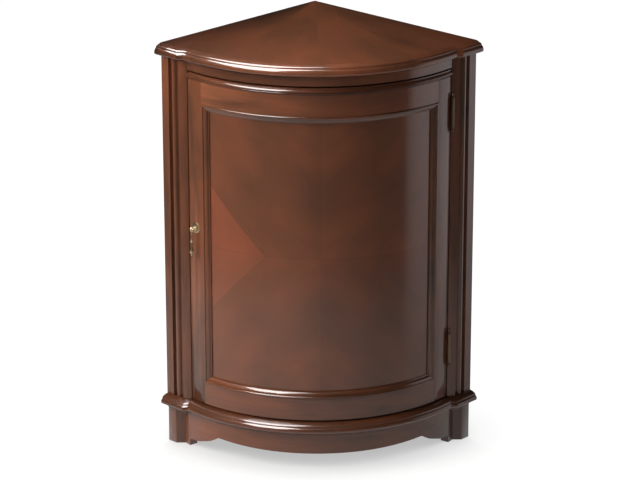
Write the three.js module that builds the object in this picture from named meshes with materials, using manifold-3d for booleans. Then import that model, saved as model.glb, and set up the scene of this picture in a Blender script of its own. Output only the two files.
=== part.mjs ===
// A corner cupboard that stands in the corner of a room, with one bowed door between two fluted posts.
// Plan, seen from above: the room corner is at the back, each side runs 45 degrees forward along a wall,
// each end turns square to its wall (the return), then runs straight across (the facet), and the front
// between the facets is one arc (the bow). All mouldings keep this plan at their own distance from it.
// Millimetres, +Z up, the front faces -Y, the origin is under the middle of the bounding box.
import * as THREE from "three";
import { mergeVertices } from "three/addons/utils/BufferGeometryUtils.js";
import Module from "manifold-3d";

const wasm = await Module();
wasm.setup();

// Clearances
const SEAT_GAP = 0.3; // glue line or resting gap between fixed pieces
const RUNNING_GAP = 0.3; // round a stud or the pull's wire
const PIN_CLEARANCE = 0.1; // round a hinge pin
const OVERRUN = 5; // how far a cut passes a face

// Carcase plan
const WALL_LENGTH = 441; // room corner to the return, along either wall
const RETURN_DEPTH = 53; // the return, square to its wall
const FACET_LENGTH = 13; // the flat between the return and the bow
const BOW_RISE = 126.7; // how far the middle of the bow stands before the facets

// Heights
const HEIGHT = 853; // floor to the top face
const TOP_THICKNESS = 28;
const FRIEZE_HEIGHT = 17.6;
const BASE_TOP = 106.5; // floor to the top of the base moulding
const BOTTOM_THICKNESS = 18;

// Top board edge
const TOP_PROJECTION = 19; // beyond the carcase

// Wall side panels and the corner post
const PANEL_BACK_THICKNESS = 12;
const CORNER_POST_WIDTH = 24;

// Front posts
const POST_DEPTH = 34; // from the bow towards the room corner
const PANEL_REBATE = 21; // how far a side panel stops short of the return
const FLUTE_START = 19.2; // wall to the first groove
const FLUTE_WIDTH = 25.6; // across both grooves and the bead between them
const FLUTE_DEPTH = 6;
const CORNER_ROUND = 8; // radius of the post's corner between the return and the facet
const FRIEZE_THICKNESS = 20;

// Base moulding
const BASE_PROJECTION = 18.5;
const BASE_MOULDING_HEIGHT = 32;
const BASE_SEAT = 12; // how far the moulding reaches behind the carcase face

// Plinth
const PLINTH_SETBACK = 2.5; // behind the carcase face
const PLINTH_THICKNESS = 18;
const PLINTH_RETURN = 22; // its return is shorter than the post's
const FOOT_HEEL = 12; // the front foot, along the wall past the plinth's back corner
const APRON_CLEARANCE = 36.1; // floor to the middle of the apron
const APRON_RISE = 5.2; // how much higher the apron ends at the brackets
const APRON_POWER = 2.5; // how late that rise comes
const FOOT_WIDTH = 16; // the foot's part of the bow
const FOOT_STEP = 15; // upright edge at the foot's inner end
const BRACKET_LENGTH = 87; // shaped part beyond the upright edge
const BRACKET_TAPER = 0.6; // the upright edge leans by this much
const SIDE_CLEARANCE = 40; // floor to the plinth sides
const PLINTH_SIDE_THICKNESS = 15;
const REAR_FOOT_WIDTH = 50;
const GLUE_BLOCK_LENGTH = 45;
const GLUE_BLOCK_DEPTH = 20;
const GLUE_BLOCK_HEIGHT = 34;

// Cleats and the shelf
const CLEAT_WIDTH = 20;
const CLEAT_END_GAP = 26; // from a cleat's end to the front post
const CLEAT_START = 70; // room corner to a cleat, along the wall
const SHELF_CLEAT_WIDTH = 14;
const SHELF_UNDERSIDE = 448; // above the floor
const SHELF_THICKNESS = 16;
const SHELF_SETBACK = 14; // behind the door
const SHELF_CLEARANCE = 1; // round the shelf

// Door
const DOOR_THICKNESS = 20;
const DOOR_BOTTOM_GAP = 3.5;
const DOOR_TOP_GAP = 3.5;
const LATCH_GAP = 3;
const HINGE_GAP = 3.4;
const STILE_WIDTH = 38;
const TOP_RAIL_HEIGHT = 44.5;
const BOTTOM_RAIL_HEIGHT = 45;
const GROOVE_DEPTH = 6;
const PANEL_RECESS = 9;
const PANEL_THICKNESS = 8;
const DOOR_MOULDING_WIDTH = 15;
const DOOR_MOULDING_PROUD = 1.8; // its outer bead, before the door's face
const MITRE_GAP = 0.15; // each side of a mitre
const MITRE_LEAD = 3; // the bowed mouldings are square in section beyond a mitre by this much
const BEAD_HEIGHT = 13.9; // the moulding along the door's top edge
const BEAD_PROUD = 3;

// Hinges
const LOWER_HINGE_RISE = 105; // the door's bottom edge to the hinge's middle
const UPPER_HINGE_DROP = 88; // the door's top edge to the hinge's middle
const BARREL_RADIUS = 3.75;
const BARREL_LENGTH = 60;
const BARREL_STAND = 4.2; // the pin's distance before the bow
const HINGE_PIN_RADIUS = 1.6;
const DOOR_KNUCKLE_LENGTH = 34;
const KNUCKLE_GAP = 0.3;
const LEAF_THICKNESS = 1.1;
const LEAF_WIDTH = 17;
const LEAF_EMBED = 1.6; // how far a leaf's tongue enters its own knuckle
const FINIAL_LENGTH = 11;
const FINIAL_RADIUS = 3.3;

// Pull
const PULL_HEIGHT = 484; // above the floor
const ROSETTE_RADIUS = 11;
const ROSETTE_THICKNESS = 3.4;
const STUD_RADIUS = 2;
const EYE_STAND = 12; // the eye's centre, before the stile
const EYE_WIRE_RADIUS = 1.25;
const DROP_WIRE_RADIUS = 1.2;
const DROP_LOOP_RADIUS = 3.3;
const DROP_LENGTH = 50; // below its loop
const DROP_RADIUS = 4.6;
const NUT_RADIUS = 5;
const NUT_THICKNESS = 3;
const NUT_SIDES = 6;

// Catch
const CATCH_DROP = 161; // the door's top edge to the catch's middle
const CATCH_LENGTH = 44;
const CATCH_WIDTH = 13;
const CATCH_GAP = 0.6; // between the case and its strike plate
const STRIKE_SEAT = 0.6; // the flat plate's distance behind the door's curved back
const STRIKE_THICKNESS = 1;
const STRIKE_LENGTH = 36;
const STRIKE_WIDTH = 11;

// How finely curves are drawn
const BOW_STEPS = 26;
const STILE_STEPS = 3;
const ROUND_STEPS = 16;
const WIRE_STEPS = 10;
const EDGE_STEPS = 8;
const CORNER_STEPS = 4;

// Worked out from the sizes above
const SQRT2 = Math.SQRT2;
const UNDERSIDE = HEIGHT - TOP_THICKNESS;
const FACET_Y = -(WALL_LENGTH + RETURN_DEPTH) / SQRT2;
const BOW_HALF_CHORD = (WALL_LENGTH - RETURN_DEPTH) / SQRT2 - FACET_LENGTH;
const BOW_DEPTH = BOW_RISE - FACET_Y;
const BOW_RADIUS = (BOW_HALF_CHORD ** 2 + BOW_RISE ** 2) / (2 * BOW_RISE);
const BOW_CENTRE_Y = BOW_RADIUS - BOW_DEPTH;
const BOW_HALF_ANGLE = Math.asin(BOW_HALF_CHORD / BOW_RADIUS);
const POST_INNER = bowPoint(BOW_RADIUS - POST_DEPTH, BOW_HALF_ANGLE);
const POST_ALONG = (POST_INNER.x - POST_INNER.y) / SQRT2;
const TOTAL_DEPTH = BOW_DEPTH + Math.max(TOP_PROJECTION, BASE_PROJECTION);
const CARCASE_BOTTOM = BASE_TOP + SEAT_GAP;
const CARCASE_HEIGHT = UNDERSIDE - SEAT_GAP - CARCASE_BOTTOM;
const PLINTH_HEIGHT = BASE_TOP - BOTTOM_THICKNESS - SEAT_GAP;
const FRIEZE_BOTTOM = UNDERSIDE - FRIEZE_HEIGHT;
const DOOR_BOTTOM = BASE_TOP + DOOR_BOTTOM_GAP;
const DOOR_TOP = FRIEZE_BOTTOM - DOOR_TOP_GAP;
const FRAME_TOP = DOOR_TOP - BEAD_HEIGHT;
const DOOR_LEFT = -(BOW_HALF_ANGLE - LATCH_GAP / BOW_RADIUS);
const DOOR_RIGHT = BOW_HALF_ANGLE - HINGE_GAP / BOW_RADIUS;
const STILE_ANGLE = STILE_WIDTH / BOW_RADIUS;
const SEAT_ANGLE = SEAT_GAP / BOW_RADIUS;
const OPENING_LEFT = DOOR_LEFT + STILE_ANGLE;
const OPENING_RIGHT = DOOR_RIGHT - STILE_ANGLE;
const OPENING_BOTTOM = DOOR_BOTTOM + BOTTOM_RAIL_HEIGHT;
const OPENING_TOP = FRAME_TOP - TOP_RAIL_HEIGHT;
const PANEL_FACE = BOW_RADIUS - PANEL_RECESS;
const PANEL_INNER = PANEL_FACE - PANEL_THICKNESS;

// Materials
function finish(color, roughness, metalness = 0) {
  return new THREE.MeshStandardMaterial({ color, roughness, metalness });
}
const lacquered = finish(0x5a2a1a, 0.3);
const veneer = finish(0x6a3320, 0.25);
const inside = finish(0x7a4a30, 0.6);
const brass = finish(0x8a6d3b, 0.4, 1);
const bronze = finish(0x2e2420, 0.45, 1);
const steel = finish(0x9a9a98, 0.4, 1);

// A point of the plan: side is 1 on the right and -1 on the left, along runs from the room corner
// beside that wall, and out stands square to it.
function wallPoint(side, along, out) {
  return new THREE.Vector2((side * (along - out)) / SQRT2, -(along + out) / SQRT2);
}

// A point of the plan on a circle about the bow's centre. The angle is zero at the middle of the front.
function bowPoint(radius, angle) {
  return new THREE.Vector2(radius * Math.sin(angle), BOW_CENTRE_Y - radius * Math.cos(angle));
}

// An arc of the plan, as points from one angle to another.
function bowArc(radius, from, to, steps) {
  return Array.from({ length: steps + 1 }, (_, i) => bowPoint(radius, from + ((to - from) * i) / steps));
}

// The carcase's front line at a distance outside it, from the left wall to the right wall.
function frontPath(offset) {
  const wallX = (WALL_LENGTH + offset) / SQRT2;
  const facetY = FACET_Y - offset;
  const halfAngle = Math.acos((BOW_CENTRE_Y - facetY) / (BOW_RADIUS + offset));
  const right = [new THREE.Vector2(2 * wallX + facetY, facetY), new THREE.Vector2(wallX, -wallX)];
  const left = right.map((p) => new THREE.Vector2(-p.x, p.y)).reverse();
  return [...left, ...bowArc(BOW_RADIUS + offset, -halfAngle, halfAngle, BOW_STEPS), ...right];
}

// Triangles of a flat outline, each turned the same way round as a counter-clockwise outline.
function capTriangles(outline) {
  return THREE.ShapeUtils.triangulateShape(outline, []).map(([a, b, c]) => {
    const [p, q, r] = [outline[a], outline[b], outline[c]];
    const turn = (q.x - p.x) * (r.y - p.y) - (q.y - p.y) * (r.x - p.x);
    return turn > 0 ? [a, b, c] : [a, c, b];
  });
}

// A closed skin over a row of equal sections. The flat outline gives the triangles of both ends.
function skin(sections, outline) {
  const count = outline.length;
  const positions = sections.flat().flatMap((p) => [p.x, p.y, p.z]);
  const cap = capTriangles(outline);
  const last = (sections.length - 1) * count;
  const faces = cap.map(([a, b, c]) => [a, c, b]);
  faces.push(...cap.map((face) => face.map((k) => k + last)));
  const forward = THREE.ShapeUtils.area(outline) > 0;
  for (let i = 0; i + 1 < sections.length; i++)
    for (let k = 0; k < count; k++) {
      const [a, b] = [i * count + k, i * count + ((k + 1) % count)];
      const quad = [[a, b, b + count], [a, b + count, a + count]];
      faces.push(...(forward ? quad : quad.map(([p, q, r]) => [p, r, q])));
    }
  const geometry = new THREE.BufferGeometry();
  geometry.setAttribute("position", new THREE.Float32BufferAttribute(positions, 3));
  geometry.setIndex(faces.flat());
  if (signedVolume(geometry) < 0) geometry.setIndex(faces.map(([a, b, c]) => [a, c, b]).flat());
  return geometry;
}

function signedVolume(geometry) {
  const position = geometry.attributes.position;
  const corners = [0, 1, 2].map(() => new THREE.Vector3());
  let volume = 0;
  for (let i = 0; i < geometry.index.count; i += corners.length) {
    corners.forEach((corner, k) => corner.fromBufferAttribute(position, geometry.index.getX(i + k)));
    volume += corners[0].dot(corners[1].cross(corners[2]));
  }
  return volume;
}

// A closed profile of (distance outside the plan line, height) carried along a line that may differ
// with the distance: pathAt gives the plan line for one profile point.
function sweep(profile, pathAt) {
  const lines = profile.map((p) => pathAt(p).map((q) => new THREE.Vector3(q.x, q.y, p.y)));
  return skin(lines[0].map((_, i) => lines.map((line) => line[i])), profile);
}

function profileOf(...pairs) {
  return pairs.map(([offset, height]) => new THREE.Vector2(offset, height));
}

// Points of a profile between two angles on an ellipse about a centre.
function bulge(centre, radii, from, to) {
  return Array.from({ length: EDGE_STEPS + 1 }, (_, i) => {
    const angle = from + ((to - from) * i) / EDGE_STEPS;
    return [centre[0] + radii[0] * Math.cos(angle), centre[1] + radii[1] * Math.sin(angle)];
  });
}

// An upright prism on an outline of the plan.
function prism(outline, height) {
  return new THREE.ExtrudeGeometry(new THREE.Shape(outline), { depth: height, bevelEnabled: false });
}

function toSolid(geometry) {
  const bare = geometry.clone();
  bare.deleteAttribute("normal");
  bare.deleteAttribute("uv");
  const merged = mergeVertices(bare);
  return new wasm.Manifold(
    new wasm.Mesh({
      numProp: 3,
      vertProperties: merged.attributes.position.array,
      triVerts: new Uint32Array(merged.index.array),
    }),
  );
}

function toGeometry(solid) {
  const mesh = solid.getMesh();
  const geometry = new THREE.BufferGeometry();
  geometry.setAttribute("position", new THREE.BufferAttribute(mesh.vertProperties, 3));
  geometry.setIndex(new THREE.BufferAttribute(mesh.triVerts, 1));
  return geometry;
}

function join(...geometries) {
  return toGeometry(geometries.map(toSolid).reduce((a, b) => a.add(b)));
}

function cut(geometry, ...tools) {
  return toGeometry(tools.map(toSolid).reduce((a, b) => a.subtract(b), toSolid(geometry)));
}

// A box between two corners.
function block(low, high) {
  const size = low.map((v, i) => high[i] - v);
  const centre = low.map((v, i) => (v + high[i]) / 2);
  return new THREE.BoxGeometry(...size).translate(...centre);
}

// A turned piece about the upright axis, from pairs of (radius, height).
function turned(pairs, steps = ROUND_STEPS) {
  return new THREE.LatheGeometry(profileOf(...pairs), steps).rotateX(Math.PI / 2);
}

function tube(inner, outer, low, high) {
  return turned([[inner, low], [outer, low], [outer, high], [inner, high], [inner, low]]);
}

const cupboard = new THREE.Group();
const carcase = new THREE.Group();
carcase.position.y = TOTAL_DEPTH / 2;
cupboard.add(carcase);

function piece(name, geometry, material, z = 0, parent = carcase) {
  const mesh = new THREE.Mesh(geometry, material);
  mesh.name = name;
  mesh.position.z = z;
  parent.add(mesh);
  return mesh;
}

const SIDES = [["left", -1], ["right", 1]];

// The top board's edge, as (share of the projection, share of the thickness below the top face):
// a soft slope, a small bead, a thin quirk, a quarter round, a round nose and a slope back under.
const TOP_EDGE_SHARES = [
  [0, 0], [0.22, 0.045], [0.42, 0.1], [0.52, 0.115], [0.63, 0.145], [0.705, 0.195], [0.735, 0.25],
  [0.725, 0.28], [0.77, 0.292], [0.88, 0.35], [0.955, 0.44], [0.99, 0.53], [1, 0.63], [0.98, 0.685],
  [0.9, 0.735], [0.55, 0.85], [0.07, 0.97], [0, 1],
];
function makeTopBoard() {
  const rings = TOP_EDGE_SHARES.map(([out, down]) => {
    const height = HEIGHT - down * TOP_THICKNESS;
    const line = [new THREE.Vector2(0, 0), ...frontPath(out * TOP_PROJECTION)];
    return line.map((p) => new THREE.Vector3(p.x, p.y, height));
  });
  piece("top_board", skin(rings, [new THREE.Vector2(0, 0), ...frontPath(0)]), lacquered);
}

function makeFrieze() {
  const half = BOW_HALF_ANGLE - SEAT_ANGLE;
  const profile = profileOf(
    [-FRIEZE_THICKNESS, FRIEZE_BOTTOM],
    [0, FRIEZE_BOTTOM],
    [0, UNDERSIDE - SEAT_GAP],
    [-FRIEZE_THICKNESS, UNDERSIDE - SEAT_GAP],
  );
  piece("frieze_rail", sweep(profile, (p) => bowArc(BOW_RADIUS + p.x, -half, half, BOW_STEPS)), lacquered);
}

// The fluted face, as (share of the fluted width, share of the flute depth).
const FLUTE_SHARES = [
  [0, 0], [0.03, 0.55], [0.08, 0.92], [0.14, 1], [0.2, 0.92], [0.25, 0.58], [0.3, 0.28], [0.36, 0.1],
  [0.5, 0],
];
const FLUTE_ROW_SHARES = [
  ...FLUTE_SHARES,
  ...FLUTE_SHARES.slice(0, -1).map(([across, down]) => [1 - across, down]).reverse(),
];
function makePost(name, side) {
  const panelFace = PANEL_BACK_THICKNESS + SEAT_GAP;
  const rebate = WALL_LENGTH - PANEL_REBATE + SEAT_GAP;
  const cornerTurn = Math.PI / 4;
  const cornerStart = RETURN_DEPTH - CORNER_ROUND * Math.tan(cornerTurn / 2);
  const cornerCentre = wallPoint(side, WALL_LENGTH - CORNER_ROUND, cornerStart);
  const corner = Array.from({ length: CORNER_STEPS + 1 }, (_, i) => {
    const angle = side * cornerTurn * (1 - i / CORNER_STEPS) - Math.PI / 2;
    const spoke = new THREE.Vector2(Math.cos(angle), Math.sin(angle));
    return spoke.multiplyScalar(CORNER_ROUND).add(cornerCentre);
  });
  const outline = [
    wallPoint(side, WALL_LENGTH, 0),
    ...FLUTE_ROW_SHARES.map(([across, down]) =>
      wallPoint(side, WALL_LENGTH - down * FLUTE_DEPTH, FLUTE_START + across * FLUTE_WIDTH)),
    ...corner,
    bowPoint(BOW_RADIUS, side * BOW_HALF_ANGLE),
    bowPoint(BOW_RADIUS - POST_DEPTH, side * BOW_HALF_ANGLE),
    wallPoint(side, POST_ALONG, panelFace),
    wallPoint(side, rebate, panelFace),
    wallPoint(side, rebate, 0),
  ];
  piece(name, prism(outline, CARCASE_HEIGHT), lacquered, CARCASE_BOTTOM);
}

function makeBack() {
  const end = WALL_LENGTH - PANEL_REBATE;
  for (const [name, side] of SIDES) {
    const start = side > 0 ? 0 : PANEL_BACK_THICKNESS + SEAT_GAP;
    const outline = [
      wallPoint(side, start, 0),
      wallPoint(side, end, 0),
      wallPoint(side, end, PANEL_BACK_THICKNESS),
      wallPoint(side, start, PANEL_BACK_THICKNESS),
    ];
    piece(name + "_side_panel", prism(outline, CARCASE_HEIGHT), inside, CARCASE_BOTTOM);
  }
  const near = PANEL_BACK_THICKNESS + SEAT_GAP;
  const far = near + CORNER_POST_WIDTH;
  const post = [[near, near], [far, near], [far, far], [near, far]];
  const outline = post.map(([along, out]) => wallPoint(1, along, out));
  piece("back_corner_post", prism(outline, CARCASE_HEIGHT), inside, CARCASE_BOTTOM);
}

function makeCleats() {
  const near = PANEL_BACK_THICKNESS + SEAT_GAP;
  for (const [name, side] of SIDES)
    for (const [kind, width, top] of [
      ["_top_cleat", CLEAT_WIDTH, UNDERSIDE - SEAT_GAP],
      ["_shelf_cleat", SHELF_CLEAT_WIDTH, SHELF_UNDERSIDE - SEAT_GAP],
    ]) {
      const outline = [
        wallPoint(side, CLEAT_START, near),
        wallPoint(side, POST_ALONG - CLEAT_END_GAP, near),
        wallPoint(side, POST_ALONG - CLEAT_END_GAP, near + width),
        wallPoint(side, CLEAT_START, near + width),
      ];
      piece(name + kind, prism(outline, width), inside, top - width);
    }
}

function makeShelf() {
  const edge = PANEL_BACK_THICKNESS + SEAT_GAP + SHELF_CLEARANCE;
  const notch = edge + CORNER_POST_WIDTH;
  const end = POST_ALONG - SHELF_CLEARANCE;
  const radius = BOW_RADIUS - DOOR_THICKNESS - SHELF_SETBACK;
  const half = Math.asin((SQRT2 * end + BOW_CENTRE_Y) / (radius * SQRT2)) - Math.PI / 4;
  const outline = [
    wallPoint(1, notch, notch),
    wallPoint(-1, notch, edge),
    wallPoint(-1, end, edge),
    ...bowArc(radius, -half, half, BOW_STEPS),
    wallPoint(1, end, edge),
    wallPoint(1, notch, edge),
  ];
  piece("shelf", prism(outline, SHELF_THICKNESS), inside, SHELF_UNDERSIDE);
}

function makeBottomBoard() {
  const outline = [new THREE.Vector2(0, 0), ...frontPath(-BASE_SEAT - SEAT_GAP)];
  piece("bottom_board", prism(outline, BOTTOM_THICKNESS), inside, BASE_TOP - BOTTOM_THICKNESS);
}

// The base moulding's face, as (share of the projection, share of its height below the top):
// a flat top, a small step, a straight bevel, an upright nose, and a straight slope back to the plinth.
const BASE_EDGE_SHARES = [
  [0.03, 0], [0.36, 0.02], [0.43, 0.045], [0.465, 0.08], [0.475, 0.12], [0.52, 0.13], [0.9, 0.285],
  [0.97, 0.325], [1, 0.375], [1, 0.44], [0.96, 0.485], [0.5, 0.755], [0.12, 0.93], [-0.04, 0.96], [-0.04, 1],
];
function makeBaseMoulding() {
  const foot = BASE_TOP - BASE_MOULDING_HEIGHT;
  const shoulder = BASE_TOP - BOTTOM_THICKNESS;
  const plinthFace = SEAT_GAP - PLINTH_SETBACK;
  const profile = profileOf(
    ...BASE_EDGE_SHARES.map(([out, down]) => [out * BASE_PROJECTION, BASE_TOP - down * BASE_MOULDING_HEIGHT]),
    [plinthFace, foot],
    [plinthFace, shoulder],
    [-BASE_SEAT, shoulder],
    [-BASE_SEAT, BASE_TOP],
  );
  const bowRange = (p) => frontPath(p.x).slice(2, -2);
  piece("base_moulding_bow", sweep(profile, bowRange), lacquered);
  for (const [name, side] of SIDES) {
    const corner = (p) => {
      const line = frontPath(p.x);
      const [wallEnd, returnEnd, bowEnd] = side < 0 ? line : [...line].reverse();
      return [wallEnd, returnEnd, new THREE.Vector2(bowEnd.x + side * SEAT_GAP, bowEnd.y)];
    };
    piece("base_moulding_" + name, sweep(profile, corner), lacquered);
  }
}

// The plinth bow's lower edge from the foot's inner end, as (share of the bracket's length,
// share of the rise from the upright edge's top to the apron's end).
const BRACKET_SHARES = [
  [0, 0], [0.2, 0.06], [0.34, 0.12], [0.5, 0.29], [0.62, 0.41], [0.74, 0.55], [0.86, 0.77], [0.95, 0.95],
  [1, 1],
];
function makePlinth() {
  const outer = BOW_RADIUS - PLINTH_SETBACK;
  const along = WALL_LENGTH - PLINTH_SETBACK;
  const corner = wallPoint(1, along, PLINTH_RETURN);
  const half = Math.acos((BOW_CENTRE_Y - corner.y) / outer);
  const footEnd = half - FOOT_WIDTH / outer;
  const rise = APRON_CLEARANCE + APRON_RISE - FOOT_STEP;
  const bracket = BRACKET_SHARES.map(([across, up]) => [
    footEnd - (BRACKET_TAPER + across * BRACKET_LENGTH) / outer,
    FOOT_STEP + up * rise,
  ]);
  const leftHalf = [[half - SEAT_ANGLE, 0], [footEnd, 0], ...bracket].map(([angle, low]) => [-angle, low]);
  const apronEnd = bracket.at(-1)[0];
  const apron = Array.from({ length: BOW_STEPS - 1 }, (_, i) => {
    const share = (2 * (i + 1)) / BOW_STEPS - 1;
    return [apronEnd * share, APRON_CLEARANCE + APRON_RISE * Math.abs(share) ** APRON_POWER];
  });
  const rightHalf = leftHalf.map(([angle, low]) => [-angle, low]).reverse();
  const sections = [...leftHalf, ...apron, ...rightHalf].map(([angle, low]) => {
    const [front, back] = [bowPoint(outer, angle), bowPoint(outer - PLINTH_THICKNESS, angle)];
    return [
      new THREE.Vector3(back.x, back.y, low),
      new THREE.Vector3(front.x, front.y, low),
      new THREE.Vector3(front.x, front.y, PLINTH_HEIGHT),
      new THREE.Vector3(back.x, back.y, PLINTH_HEIGHT),
    ];
  });
  const square = profileOf(
    [-PLINTH_THICKNESS, 0],
    [0, 0],
    [0, PLINTH_HEIGHT],
    [-PLINTH_THICKNESS, PLINTH_HEIGHT],
  );
  piece("plinth_front", skin(sections, square), lacquered);

  for (const [name, side] of SIDES) {
    const back = bowPoint(outer - PLINTH_THICKNESS, side * half);
    const heel = (side * back.x - back.y) / SQRT2 - FOOT_HEEL;
    const foot = [
      wallPoint(side, along, 0),
      wallPoint(side, along, PLINTH_RETURN),
      bowPoint(outer, side * half),
      back,
      wallPoint(side, heel, (-back.y - side * back.x) / SQRT2),
      wallPoint(side, heel, 0),
    ];
    piece(name + "_front_foot", prism(foot, PLINTH_HEIGHT), lacquered);

    const board = [
      wallPoint(side, REAR_FOOT_WIDTH + SEAT_GAP, 0),
      wallPoint(side, heel - SEAT_GAP, 0),
      wallPoint(side, heel - SEAT_GAP, PLINTH_SIDE_THICKNESS),
      wallPoint(side, REAR_FOOT_WIDTH + SEAT_GAP, PLINTH_SIDE_THICKNESS),
    ];
    const boardHeight = PLINTH_HEIGHT - SIDE_CLEARANCE;
    piece(name + "_plinth_side", prism(board, boardHeight), inside, SIDE_CLEARANCE);

    const glue = new THREE.Group();
    glue.rotation.z = (side * half) / 2;
    const place = bowPoint(outer - PLINTH_THICKNESS, (side * half) / 2);
    glue.position.set(place.x, place.y, 0);
    carcase.add(glue);
    const sag = outer - Math.hypot(outer, GLUE_BLOCK_LENGTH / 2);
    const glueBlock = block(
      [-GLUE_BLOCK_LENGTH / 2, SEAT_GAP - sag, PLINTH_HEIGHT - GLUE_BLOCK_HEIGHT],
      [GLUE_BLOCK_LENGTH / 2, GLUE_BLOCK_DEPTH, PLINTH_HEIGHT],
    );
    piece(name + "_glue_block", glueBlock, inside, 0, glue);
  }
  const rear = [[0, 0], [REAR_FOOT_WIDTH, 0], [REAR_FOOT_WIDTH, REAR_FOOT_WIDTH], [0, REAR_FOOT_WIDTH]];
  const rearOutline = rear.map(([a, out]) => wallPoint(1, a, out));
  piece("rear_foot", prism(rearOutline, PLINTH_HEIGHT), lacquered);
}

// A stile: an upright board of the door with a groove for the panel in its inner edge.
function stileGeometry(edge, inner) {
  const toEdge = Math.sign(edge - inner);
  const grooveAngle = inner + (toEdge * GROOVE_DEPTH) / BOW_RADIUS;
  const [front, back] = [PANEL_FACE + SEAT_GAP, PANEL_INNER - SEAT_GAP];
  const outline = [
    ...bowArc(BOW_RADIUS, edge, inner, STILE_STEPS),
    bowPoint(front, inner),
    bowPoint(front, grooveAngle),
    bowPoint(back, grooveAngle),
    bowPoint(back, inner),
    ...bowArc(BOW_RADIUS - DOOR_THICKNESS, inner, edge, STILE_STEPS),
  ];
  return prism(outline, FRAME_TOP - DOOR_BOTTOM - SEAT_GAP);
}

function makeDoorFrame() {
  const hole = bowPoint(BOW_RADIUS, DOOR_LEFT + STILE_ANGLE / 2);
  const drill = new THREE.CylinderGeometry(
    STUD_RADIUS + RUNNING_GAP,
    STUD_RADIUS + RUNNING_GAP,
    2 * (DOOR_THICKNESS + OVERRUN),
    ROUND_STEPS,
  );
  drill.rotateZ(DOOR_LEFT + STILE_ANGLE / 2);
  drill.translate(hole.x, hole.y, PULL_HEIGHT - DOOR_BOTTOM);
  piece("left_stile", cut(stileGeometry(DOOR_LEFT, OPENING_LEFT), drill), lacquered, DOOR_BOTTOM);
  piece("right_stile", stileGeometry(DOOR_RIGHT, OPENING_RIGHT), lacquered, DOOR_BOTTOM);

  const inner = -DOOR_THICKNESS;
  const [grooveFront, grooveBack] = [SEAT_GAP - PANEL_RECESS, -PANEL_RECESS - PANEL_THICKNESS - SEAT_GAP];
  const rails = [
    ["top_rail", OPENING_TOP, FRAME_TOP - SEAT_GAP, 1],
    ["bottom_rail", OPENING_BOTTOM, DOOR_BOTTOM, -1],
  ];
  for (const [name, edge, far, up] of rails) {
    const profile = profileOf(
      [0, edge],
      [0, far],
      [inner, far],
      [inner, edge],
      [grooveBack, edge],
      [grooveBack, edge + up * GROOVE_DEPTH],
      [grooveFront, edge + up * GROOVE_DEPTH],
      [grooveFront, edge],
    );
    const range = [OPENING_LEFT + SEAT_ANGLE, OPENING_RIGHT - SEAT_ANGLE];
    piece(name, sweep(profile, (p) => bowArc(BOW_RADIUS + p.x, ...range, BOW_STEPS)), lacquered);
  }
}

// The moulding along the door's top edge, as (share of how far it stands proud, share of its height
// above the frame): a thin quirk, a small fillet with a sloping top, and a large bead.
const BEAD_SHARES = [
  [-0.5, 0], [-0.5, 0.09], [0.25, 0.12], [0.4, 0.17], [0.4, 0.25], [0.2, 0.31], [-0.25, 0.36], [0.35, 0.39],
  [0.75, 0.46], [0.95, 0.56], [1, 0.66], [0.95, 0.77], [0.77, 0.87], [0.45, 0.95], [0, 1],
];
function makeDoorBead() {
  const profile = profileOf(
    [-DOOR_THICKNESS, FRAME_TOP],
    ...BEAD_SHARES.map(([out, up]) => [out * BEAD_PROUD, FRAME_TOP + up * BEAD_HEIGHT]),
    [-DOOR_THICKNESS, DOOR_TOP],
  );
  const geometry = sweep(profile, (p) => bowArc(BOW_RADIUS + p.x, DOOR_LEFT, DOOR_RIGHT, BOW_STEPS));
  piece("door_top_bead", geometry, lacquered);
}

function makePanel() {
  const tongue = GROOVE_DEPTH - SEAT_GAP;
  const [low, high] = [OPENING_BOTTOM - tongue, OPENING_TOP + tongue];
  const range = [OPENING_LEFT - tongue / BOW_RADIUS, OPENING_RIGHT + tongue / BOW_RADIUS];
  const profile = profileOf([-PANEL_THICKNESS, low], [0, low], [0, high], [-PANEL_THICKNESS, high]);
  piece("door_panel", sweep(profile, (p) => bowArc(PANEL_FACE + p.x, ...range, BOW_STEPS)), veneer);
}

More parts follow.
